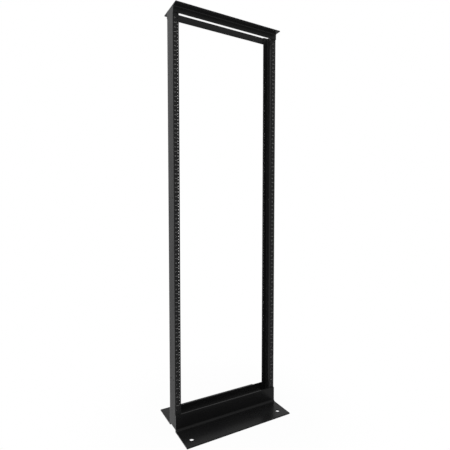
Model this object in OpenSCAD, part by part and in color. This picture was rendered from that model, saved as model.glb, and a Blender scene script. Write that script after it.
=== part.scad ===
// Two-post open frame rack for 23 inch equipment: two extruded channels stand
// back to back with their open sides inward, on a pair of wide base angles,
// and a pair of small angles ties their heads together.
// Millimetres. X is the width, Y the depth with the front at -Y, Z is up, and
// the origin is on the floor at the middle of the frame.

/* [Rack units] */
// Number of rack units between the base angles and the top angles
units = 45; // [6:1:50]
// Height of one rack unit
unit_h = 44.45; // [44:0.05:50]
// Centre of a unit's first hole above the unit's lower line
first_hole = 6.35; // [5:0.05:7]
// Distance from each of a unit's three holes to the next
hole_step = 15.875; // [15:0.025:16.5]
// Diameter of the equipment holes
hole_d = 5.5; // [4:0.1:7]

/* [Uprights] */
// Width over the outer faces of the two uprights
rack_w = 617.2; // [500:0.1:700]
// Depth of the channel over its two flanges
channel_d = 76.2; // [60:0.1:160]
// Width of the channel's flanges, web included
flange_w = 31.75; // [26:0.05:45]
// Thickness of the channel's flanges
flange_t = 6.35; // [4:0.05:8]
// Thickness of the channel's web
web_t = 4.75; // [3:0.05:8]
// Fillet in the channel's two inner corners
channel_fillet = 4; // [1:0.5:6]
// Rounding of the flanges' inner edges
flange_edge_r = 1; // [0.2:0.1:2]
// Centre of the hole column, in from the flange's free edge
hole_inset = 6.5; // [5:0.05:9]
// Clear space between the floor and the uprights' lower ends
foot_gap = 12; // [2:0.5:20]

/* [Web holes] */
// Diameter of the holes through the webs, for cable brackets
web_hole_d = 7; // [4:0.5:10]
// Distance between the two holes of a pair
web_hole_gap = 35; // [20:0.5:40]
// Height of the lowest pair above the floor
web_pair_low = 262.5; // [150:0.5:400]
// Distance from the lowest pair up to the highest
web_pair_rise = 1551; // [1500:0.5:1650]
// Distance from the highest pair down to the middle one
web_pair_drop = 618; // [300:1:900]

/* [Base angles] */
// Height of the base angle's upright leg
base_leg_h = 88.9; // [60:0.1:120]
// Reach of the base angle's floor leg from the upright's face
base_reach = 152.4; // [100:0.1:250]
// Thickness of the base angles
base_t = 6.35; // [4:0.05:10]
// Fillet between the two legs of the base angle
base_fillet = 12.7; // [4:0.1:20]
// Clear height between the base angles' upper edges and the first rack unit
base_clear = 2.5; // [0:0.1:40]
// Rounding along the free edges of the base angle
base_edge_r = 1.5; // [0.3:0.1:3]

/* [Floor anchors] */
// Diameter of the anchor holes
anchor_d = 22; // [8:0.5:26]
// Anchor hole centre, in from the angle's end
anchor_inset_x = 46; // [30:0.1:90]
// Anchor hole centre, in from the angle's outer edge
anchor_inset_y = 50.8; // [25:0.1:60]

/* [Top angles] */
// Height of the top angle's hanging leg
top_leg_h = 34.3; // [25:0.1:60]
// Reach of the top angle's flat leg from the upright's face
top_reach = 40.7; // [25:0.1:80]
// Thickness of the top angles
top_t = 4.75; // [3:0.05:8]
// Fillet between the two legs of the top angle
top_fillet = 5; // [2:0.5:12]
// Rounding along the free edges of the top angle
top_edge_r = 1; // [0.3:0.1:2]
// Clear height between the highest rack unit and the top angles
head_clear = 2.5; // [0:0.1:20]

/* [Hidden] */
$fn = 48;

// Each unit has three holes
holes_per_unit = 3;
// The first unit starts a little above the base angles
first_unit_z = base_leg_h + base_clear;
// The highest unit ends here
last_unit_z = first_unit_z + units * unit_h;
// The upper faces of the top angles and the ends of the uprights
rack_h = last_unit_z + head_clear + top_leg_h;
// Outer face of an upright's web, from the middle of the frame
web_x = rack_w / 2;
// Front or back face of an upright, from the middle of the frame
face_y = channel_d / 2;
// Middle of the hole column, out from the upright's web
hole_out = flange_w - hole_inset;
// Heights of the pairs of web holes
web_pairs = [
    web_pair_low,
    web_pair_low + web_pair_rise - web_pair_drop,
    web_pair_low + web_pair_rise
];
// Extra length of a cutter past the faces that it goes through
past = 1;

frame_colour = [0.16, 0.16, 0.165];
base_colour = [0.12, 0.12, 0.125];

// Height of one equipment hole, counted from the lowest unit
function hole_z(unit, i) = first_unit_z + unit * unit_h + first_hole + i * hole_step;

// A fillet in the inner corner at the origin, between the +X and +Y sides
module corner_fillet(r) {
    difference() {
        square([r, r]);
        translate([r, r]) circle(r = r);
    }
}

// What is cut off an outer corner at the origin to round it, inward of +X and +Y
module corner_round(r) {
    difference() {
        translate([-past, -past]) square([r + past, r + past]);
        translate([r, r]) circle(r = r);
    }
}

// Section of the channel: the web stands on the Y axis and the flanges reach to +X
module channel_section() {
    inner_y = face_y - flange_t;
    difference() {
        union() {
            translate([0, -face_y]) square([web_t, channel_d]);
            for (side = [-1, 1]) {
                scale([1, side]) {
                    translate([0, inner_y]) square([flange_w, flange_t]);
                    translate([web_t, inner_y]) scale([1, -1]) corner_fillet(channel_fillet);
                }
            }
        }
        for (side = [-1, 1]) {
            scale([1, side]) translate([flange_w, inner_y]) scale([-1, 1]) corner_round(flange_edge_r);
        }
    }
}

// Section of an angle: the heel is at the origin, one leg reaches along +X and one along +Y
module angle_section(reach, rise, t, fillet_r, edge_r) {
    difference() {
        union() {
            square([reach, t]);
            square([t, rise]);
            translate([t, t]) corner_fillet(fillet_r);
        }
        translate([reach, t]) scale([-1, -1]) corner_round(edge_r);
        translate([t, rise]) scale([-1, -1]) corner_round(edge_r);
    }
}

// Cutters for the equipment holes, right through both flanges of an upright
module equipment_holes() {
    for (unit = [0 : units - 1]) {
        for (i = [0 : holes_per_unit - 1]) {
            translate([hole_out, 0, hole_z(unit, i)])
                rotate([90, 0, 0])
                    cylinder(d = hole_d, h = channel_d + 2 * past, center = true);
        }
    }
}

// Cutters for the pairs of holes through the web
module web_holes() {
    for (z = web_pairs) {
        for (side = [-1, 1]) {
            translate([-past, side * web_hole_gap / 2, z])
                rotate([0, 90, 0])
                    cylinder(d = web_hole_d, h = web_t + 2 * past);
        }
    }
}

// One channel, its web on the Y axis and its open side towards +X
module upright() {
    difference() {
        translate([0, 0, foot_gap])
            linear_extrude(height = rack_h - foot_gap)
                channel_section();
        equipment_holes();
        web_holes();
    }
}

// One base angle behind the uprights: heel at their back face, floor leg towards +Y
module base_angle() {
    anchor_x = web_x - anchor_inset_x;
    anchor_y = base_reach - anchor_inset_y;
    difference() {
        rotate([90, 0, 90])
            linear_extrude(height = rack_w, center = true)
                angle_section(base_reach, base_leg_h, base_t, base_fillet, base_edge_r);
        for (side = [-1, 1]) {
            translate([side * anchor_x, anchor_y, -past])
                cylinder(d = anchor_d, h = base_t + 2 * past);
        }
    }
}

// One top angle behind the uprights: heel up, flat leg towards +Y, the other leg hangs
module top_angle() {
    translate([0, 0, rack_h])
        rotate([90, 0, 90])
            linear_extrude(height = rack_w, center = true)
                scale([1, -1])
                    angle_section(top_reach, top_leg_h, top_t, top_fillet, top_edge_r);
}

// The left channel
module left_upright() {
    color(frame_colour)
        translate([-web_x, 0, 0])
            upright();
}

// The right channel, the left one's mirror image
module right_upright() {
    color(frame_colour)
        mirror([1, 0, 0])
            translate([-web_x, 0, 0])
                upright();
}

// The base angle at the back
module back_base_angle() {
    color(base_colour)
        translate([0, face_y, 0])
            base_angle();
}

// The base angle at the front
module front_base_angle() {
    color(base_colour)
        mirror([0, 1, 0])
            translate([0, face_y, 0])
                base_angle();
}

// The top angle at the back
module back_top_angle() {
    color(frame_colour)
        translate([0, face_y, 0])
            top_angle();
}

// The top angle at the front
module front_top_angle() {
    color(frame_colour)
        mirror([0, 1, 0])
            translate([0, face_y, 0])
                top_angle();
}

left_upright();
right_upright();
front_base_angle();
back_base_angle();
front_top_angle();
back_top_angle();
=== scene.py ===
import math

import bmesh
import bpy
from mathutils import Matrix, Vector


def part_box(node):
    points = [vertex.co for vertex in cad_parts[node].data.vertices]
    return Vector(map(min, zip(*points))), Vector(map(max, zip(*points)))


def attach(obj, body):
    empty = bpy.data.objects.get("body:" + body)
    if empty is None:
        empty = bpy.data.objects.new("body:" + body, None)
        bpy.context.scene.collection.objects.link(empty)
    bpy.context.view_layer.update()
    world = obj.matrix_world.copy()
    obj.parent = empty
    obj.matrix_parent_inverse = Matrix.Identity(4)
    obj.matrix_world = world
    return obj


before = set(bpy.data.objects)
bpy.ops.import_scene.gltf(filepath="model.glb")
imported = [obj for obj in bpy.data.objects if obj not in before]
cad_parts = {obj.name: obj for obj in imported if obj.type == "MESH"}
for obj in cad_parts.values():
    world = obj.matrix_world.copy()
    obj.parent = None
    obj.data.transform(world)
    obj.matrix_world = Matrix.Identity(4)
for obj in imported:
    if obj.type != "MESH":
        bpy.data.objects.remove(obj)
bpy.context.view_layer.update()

# Uprights: two channels of extruded aluminium, each cut to length, stand with their open
# sides facing each other. They are sprayed with black polyester powder and baked, which
# leaves a satin skin about 0.08 mm thick that flows over the edges and holes.


def linear(code):
    """The linear colour of an sRGB hex value."""
    channels = [int(code[i:i + 2], 16) / 255 for i in (0, 2, 4)]
    return tuple(c / 12.92 if c <= 0.04045 else ((c + 0.055) / 1.055) ** 2.4
                 for c in channels) + (1.0,)


def add(tree, kind, links={}, values={}, **settings):
    """Adds a node, sets its properties and socket values, and links its inputs."""
    node = tree.nodes.new(kind)
    for key, value in settings.items():
        setattr(node, key, value)
    for key, value in values.items():
        node.inputs[key].default_value = value
    for key, source in links.items():
        tree.links.new(source, node.inputs[key])
    return node


def black_powder_coat(name, dark, light, grain, satin_range, gloss_ior):
    """Baked polyester powder on an extrusion: deep black with a satin gloss, a fine orange peel,
    and a faint unevenness that follows the extrusion's length, given by grain. The gloss IOR is
    kept well under polyester's 1.5, since reflections of white surroundings grey the black."""
    film_cell, peel_cell, speck_cell = 0.045, 0.0012, 0.0003
    edge_radius, peel_depth, speck_depth = 0.0006, 0.00003, 0.00001
    material = bpy.data.materials.new(name)
    material.use_nodes = True
    tree = material.node_tree
    tree.nodes.clear()
    place = add(tree, "ShaderNodeTexCoord").outputs["Object"]
    # Film thickness drifts over hands' breadths, along the extrusion more than across it
    drift = add(tree, "ShaderNodeMapping", {"Vector": place}, {"Scale": grain})
    film = add(tree, "ShaderNodeTexNoise", {"Vector": drift.outputs["Vector"]},
               {"Scale": 1 / film_cell, "Detail": 3.0, "Roughness": 0.55})
    # Orange peel, and within it the powder's own finer grain
    peel = add(tree, "ShaderNodeTexNoise", {"Vector": place},
               {"Scale": 1 / peel_cell, "Detail": 2.0})
    speck = add(tree, "ShaderNodeTexNoise", {"Vector": place},
                {"Scale": 1 / speck_cell, "Detail": 1.0})
    tone = add(tree, "ShaderNodeMix", {"Factor": film.outputs["Fac"]},
               {"A": linear(dark), "B": linear(light)}, data_type="RGBA")
    satin = add(tree, "ShaderNodeMapRange", {"Value": film.outputs["Fac"]},
                {"From Min": 0.3, "From Max": 0.7,
                 "To Min": satin_range[0], "To Max": satin_range[1]})
    edge = add(tree, "ShaderNodeBevel", {}, {"Radius": edge_radius}, samples=4)
    skin = add(tree, "ShaderNodeBump",
               {"Height": peel.outputs["Fac"], "Normal": edge.outputs["Normal"]},
               {"Strength": 0.35, "Distance": peel_depth})
    fine = add(tree, "ShaderNodeBump",
               {"Height": speck.outputs["Fac"], "Normal": skin.outputs["Normal"]},
               {"Strength": 0.2, "Distance": speck_depth})
    paint = add(tree, "ShaderNodeBsdfPrincipled",
                {"Base Color": tone.outputs["Result"], "Roughness": satin.outputs["Result"],
                 "Normal": fine.outputs["Normal"]},
                {"IOR": gloss_ior})
    add(tree, "ShaderNodeOutputMaterial", {"Surface": paint.outputs["BSDF"]})
    return material


upright_coat = black_powder_coat("powder_coated_channel", "1c1c1c", "222223",
                                 (1, 1, 0.25), (0.34, 0.42), 1.21)
for side in ("left", "right"):
    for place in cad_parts[side + "_upright"].material_slots:
        place.material = upright_coat

# Screw threads: every equipment hole is tapped for a number 12 screw, 24 threads to the
# inch. The crests stand inside the drilled bore and carry a thin skin of the same coat.
# Each unit has three holes, at hole_heights above its lower line.
root_radius, crest_radius, thread_pitch = 0.00278, 0.0024, 0.0254 / 24
flange_thick, hole_from_edge = 0.00635, 0.0065
hole_heights = (0.00635, 0.022225, 0.0381)
base_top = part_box("front_base_angle")[1].z
unit_pitch, units = 0.04445, 45
unit_above_base = 0.0025
first_unit = base_top + unit_above_base


def cut_threads(name, x, faces_y):
    """One closed helical crest, its root let into the wall, in each hole of an upright's flanges."""
    steps, turns = 12, int(flange_thick / thread_pitch) - 1
    # Half the width of a crest's root, and its first turn's distance in from the face, in pitches
    half_root, lead_in = 0.42, 0.5
    rib = ((root_radius, -half_root), (crest_radius, 0.0), (root_radius, half_root))
    points, faces = [], []
    for unit in range(units):
        for up in hole_heights:
            z = first_unit + unit * unit_pitch + up
            for outer, inward in faces_y:
                first = len(points)
                for i in range(steps * turns + 1):
                    angle = -inward * 2 * math.pi * i / steps
                    for radius, shift in rib:
                        depth = (i / steps + lead_in + shift) * thread_pitch
                        points.append((x + radius * math.cos(angle), outer + inward * depth,
                                       z + radius * math.sin(angle)))
                for i in range(steps * turns):
                    at = first + 3 * i
                    faces += [(at, at + 1, at + 4, at + 3), (at + 1, at + 2, at + 5, at + 4),
                              (at + 2, at, at + 3, at + 5)]
                last = first + 3 * steps * turns
                faces += [(first, first + 2, first + 1), (last, last + 1, last + 2)]
    mesh = bpy.data.meshes.new(name)
    mesh.from_pydata(points, [], faces)
    mesh.materials.append(upright_coat)
    mesh.update()
    piece = bpy.data.objects.new(name, mesh)
    bpy.context.scene.collection.objects.link(piece)
    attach(piece, "root")


for side in ("left", "right"):
    near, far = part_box(side + "_upright")
    column = far.x - hole_from_edge if side == "left" else near.x + hole_from_edge
    cut_threads(side + "_screw_threads", column, ((near.y, 1), (far.y, -1)))

# Base angles: two long unequal angles of extruded aluminium stand heel to heel with the
# uprights between them. The thick floor legs take the anchors, and the rounded fillet
# between the legs and the square-cut ends carry the same black powder coat. Here the coat
# is a darker copy of the uprights' coat, and that darker tone is painted shade.
base_coat_painted_shade = black_powder_coat("powder_coat_painted_shade_base_angle", "191919", "1d1d1e",
                              (0.25, 1, 1), (0.24, 0.3), 1.2)
for end in ("front", "back"):
    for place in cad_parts[end + "_base_angle"].material_slots:
        place.material = base_coat_painted_shade

# Top angles: two small extruded angles that tie the heads of the uprights, one on each
# side. Their flat legs lie on top and can carry a cable runway. They are powder coated too,
# in a lighter copy of the uprights' coat, and that lighter tone is painted light.
top_coat_painted_light = black_powder_coat("powder_coat_painted_light_top_angle", "1e1e1e", "242425",
                             (0.25, 1, 1), (0.3, 0.38), 1.21)
for end in ("front", "back"):
    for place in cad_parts[end + "_top_angle"].material_slots:
        place.material = top_coat_painted_light

# Unit marks: white ink printed on the flanges, a thin line at the foot of each rack
# unit and its number half way up, counted from the bottom. The film is matt and
# only a few hundredths of a millimetre thick, so its edges show no step.
line_length, line_width, line_from_edge = 0.015, 0.0009, 0.006
digit_height, capital_share, stroke_trim = 0.0072, 0.73, 0.00022
corner_merge, sliver_width = 0.0003, 0.000075
film_proud, film_root = 0.00004, 0.00002
ink_grain = 0.0008


def white_ink():
    """Screen-printed epoxy ink: a chalky white that the black shows through a little."""
    material = bpy.data.materials.new("printed_white_ink")
    material.use_nodes = True
    tree = material.node_tree
    tree.nodes.clear()
    place = add(tree, "ShaderNodeTexCoord").outputs["Object"]
    thin = add(tree, "ShaderNodeTexNoise", {"Vector": place},
               {"Scale": 1 / ink_grain, "Detail": 3.0})
    cover = add(tree, "ShaderNodeMix", {"Factor": thin.outputs["Fac"]},
                {"A": linear("a2a2a0"), "B": linear("c8c8c6")}, data_type="RGBA")
    ink = add(tree, "ShaderNodeBsdfPrincipled", {"Base Color": cover.outputs["Result"]},
              {"Roughness": 0.6, "IOR": 1.5})
    add(tree, "ShaderNodeOutputMaterial", {"Surface": ink.outputs["BSDF"]})
    return material


def digit_outline(text):
    """Flat triangles of a number as tall as digit_height, its lower left corner at the origin."""
    scale = digit_height / capital_share
    curve = bpy.data.curves.new("number", "FONT")
    curve.body = text
    curve.resolution_u = 2
    curve.offset = -stroke_trim / scale
    carrier = bpy.data.objects.new("number", curve)
    bpy.context.scene.collection.objects.link(carrier)
    bpy.context.view_layer.update()
    outline = bmesh.new()
    outline.from_mesh(carrier.evaluated_get(bpy.context.evaluated_depsgraph_get()).to_mesh())
    bpy.data.objects.remove(carrier)
    # Thinned strokes can fold over at a corner, so points that lie close together are made
    # one, and slivers without an area are taken out
    bmesh.ops.remove_doubles(outline, verts=outline.verts[:], dist=corner_merge / scale)
    bmesh.ops.dissolve_degenerate(outline, edges=outline.edges[:], dist=sliver_width / scale)
    bmesh.ops.triangulate(outline, faces=outline.faces[:])
    outline.verts.index_update()
    points = [(v.co.x * scale, v.co.y * scale) for v in outline.verts]
    faces = [tuple(v.index for v in face.verts) for face in outline.faces]
    outline.free()
    left = min(x for x, y in points)
    bottom = min(y for x, y in points)
    return [(x - left, y - bottom) for x, y in points], faces


numbers = {unit: digit_outline(str(unit)) for unit in range(1, units + 1)}
ink = white_ink()


def print_marks(name, start, along, face_y):
    """Lines and numbers of one flange face, read from outside it, beginning at x = start."""
    points, faces = [], []
    skin_y = face_y + math.copysign(film_proud, face_y)
    root_y = face_y - math.copysign(film_root, face_y)

    def lay(shape, polygons, z):
        """Adds one closed film: its printed face, its underside, and the rim between them."""
        top = len(points)
        under = top + len(shape)
        for y in (skin_y, root_y):
            points.extend((start + along * across, y, z + up) for across, up in shape)
        edges = [edge for polygon in polygons
                 for edge in zip(polygon, polygon[1:] + polygon[:1])]
        known = set(edges)
        faces.extend(tuple(top + i for i in polygon) for polygon in polygons)
        faces.extend(tuple(under + i for i in reversed(polygon)) for polygon in polygons)
        faces.extend((top + a, under + a, under + b, top + b)
                     for a, b in edges if (b, a) not in known)

    for unit in range(1, units + 1):
        floor_line = first_unit + (unit - 1) * unit_pitch
        if unit > 1:
            lay([(0, -line_width / 2), (line_length, -line_width / 2),
                 (line_length, line_width / 2), (0, line_width / 2)], [(0, 1, 2, 3)], floor_line)
        shape, polygons = numbers[unit]
        lay(shape, polygons, floor_line + unit_pitch / 2 - digit_height / 2)
    mesh = bpy.data.meshes.new(name)
    mesh.from_pydata(points, [], faces)
    mesh.materials.append(ink)
    mesh.update()
    piece = bpy.data.objects.new(name, mesh)
    bpy.context.scene.collection.objects.link(piece)
    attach(piece, "root")


for side in ("left", "right"):
    near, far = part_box(side + "_upright")
    line_x = near.x + line_from_edge if side == "left" else far.x - line_from_edge - line_length
    print_marks(side + "_front_unit_marks", line_x, 1, near.y)
    print_marks(side + "_back_unit_marks", line_x + line_length, -1, far.y)

# Studio: a plain white floor under the rack, soft light from all round, and a little more
# from above and from the left. The floor and the surroundings are white to the camera and
# in reflections, and only a faint shadow stays round the feet.
scene = bpy.context.scene
scene.view_settings.view_transform = "Standard"


def white_to_camera(tree):
    """1 where the background is looked at, straight or in a reflection, and 0 for soft light."""
    ray = add(tree, "ShaderNodeLightPath")
    seen = add(tree, "ShaderNodeMath",
               {0: ray.outputs["Is Camera Ray"], 1: ray.outputs["Is Glossy Ray"]},
               operation="MAXIMUM")
    through = add(tree, "ShaderNodeMath",
                  {0: seen.outputs[0], 1: ray.outputs["Is Transmission Ray"]},
                  operation="MAXIMUM")
    return through.outputs[0]


world = bpy.data.worlds.new("white_studio")
world.use_nodes = True
scene.world = world
tree = world.node_tree
tree.nodes.clear()
soft = add(tree, "ShaderNodeBackground", {}, {"Color": linear("f4f4f4"), "Strength": 0.6})
plain = add(tree, "ShaderNodeBackground", {}, {"Color": linear("ffffff"), "Strength": 1.0})
choice = add(tree, "ShaderNodeMixShader",
             {0: white_to_camera(tree), 1: soft.outputs[0], 2: plain.outputs[0]})
add(tree, "ShaderNodeOutputWorld", {"Surface": choice.outputs[0]})

floor_reach = 6.0
floor_mesh = bpy.data.meshes.new("studio_floor")
corners = [(-floor_reach, -floor_reach, 0), (floor_reach, -floor_reach, 0),
           (floor_reach, floor_reach, 0), (-floor_reach, floor_reach, 0)]
floor_mesh.from_pydata(corners, [], [(0, 1, 2, 3)])
floor_paint = bpy.data.materials.new("white_painted_floor")
floor_paint.use_nodes = True
tree = floor_paint.node_tree
tree.nodes.clear()
matt = add(tree, "ShaderNodeBsdfDiffuse", {}, {"Color": linear("f2f2f2")})
glow = add(tree, "ShaderNodeEmission", {}, {"Color": linear("ffffff"), "Strength": 1.0})
# The shadow is kept near the feet and fades out into the white surroundings
fade_from, fade_to, least_glow = 0.25, 0.9, 0.96
place = add(tree, "ShaderNodeTexCoord").outputs["Object"]
distance = add(tree, "ShaderNodeVectorMath", {0: place}, operation="LENGTH")
fade = add(tree, "ShaderNodeMapRange", {"Value": distance.outputs["Value"]},
           {"From Min": fade_from, "From Max": fade_to, "To Min": least_glow, "To Max": 1.0},
           interpolation_type="SMOOTHSTEP")
share = add(tree, "ShaderNodeMath", {0: fade.outputs["Result"], 1: white_to_camera(tree)},
            operation="MULTIPLY")
blend = add(tree, "ShaderNodeMixShader",
            {0: share.outputs[0], 1: matt.outputs[0], 2: glow.outputs[0]})
add(tree, "ShaderNodeOutputMaterial", {"Surface": blend.outputs[0]})
floor_mesh.materials.append(floor_paint)
floor = bpy.data.objects.new("studio_floor", floor_mesh)
scene.collection.objects.link(floor)

side_lamp = bpy.data.lights.new("left_softbox", "AREA")
side_lamp.shape = "RECTANGLE"
side_lamp.size, side_lamp.size_y = 3.0, 1.6
side_lamp.energy = 40
left = bpy.data.objects.new("left_softbox", side_lamp)
left.location = (-3.6, 1.6, 3.6)
aim = Vector((0, 0, 1.9))
left.rotation_euler = (aim - left.location).to_track_quat("-Z", "Y").to_euler()
scene.collection.objects.link(left)

lamp = bpy.data.lights.new("overhead_softbox", "AREA")
lamp.shape = "RECTANGLE"
lamp.size, lamp.size_y = 1.4, 1.4
lamp.energy = 25
overhead = bpy.data.objects.new("overhead_softbox", lamp)
overhead.location = (-0.2, -0.5, 4.0)
scene.collection.objects.link(overhead)

# Camera: standing to the left in front of the rack at about half its height, level but for
# a slight dip, with a lens that takes in the whole frame.
eye = bpy.data.cameras.new("camera")
eye.sensor_width = 36
eye.lens = 29.07
camera = bpy.data.objects.new("camera", eye)
camera.location = (-0.96258, -1.73981, 1.14521)
dip, turn = 2.69, -29.02
camera.rotation_euler = (math.radians(90 - dip), 0, math.radians(turn))
scene.collection.objects.link(camera)
scene.camera = camera
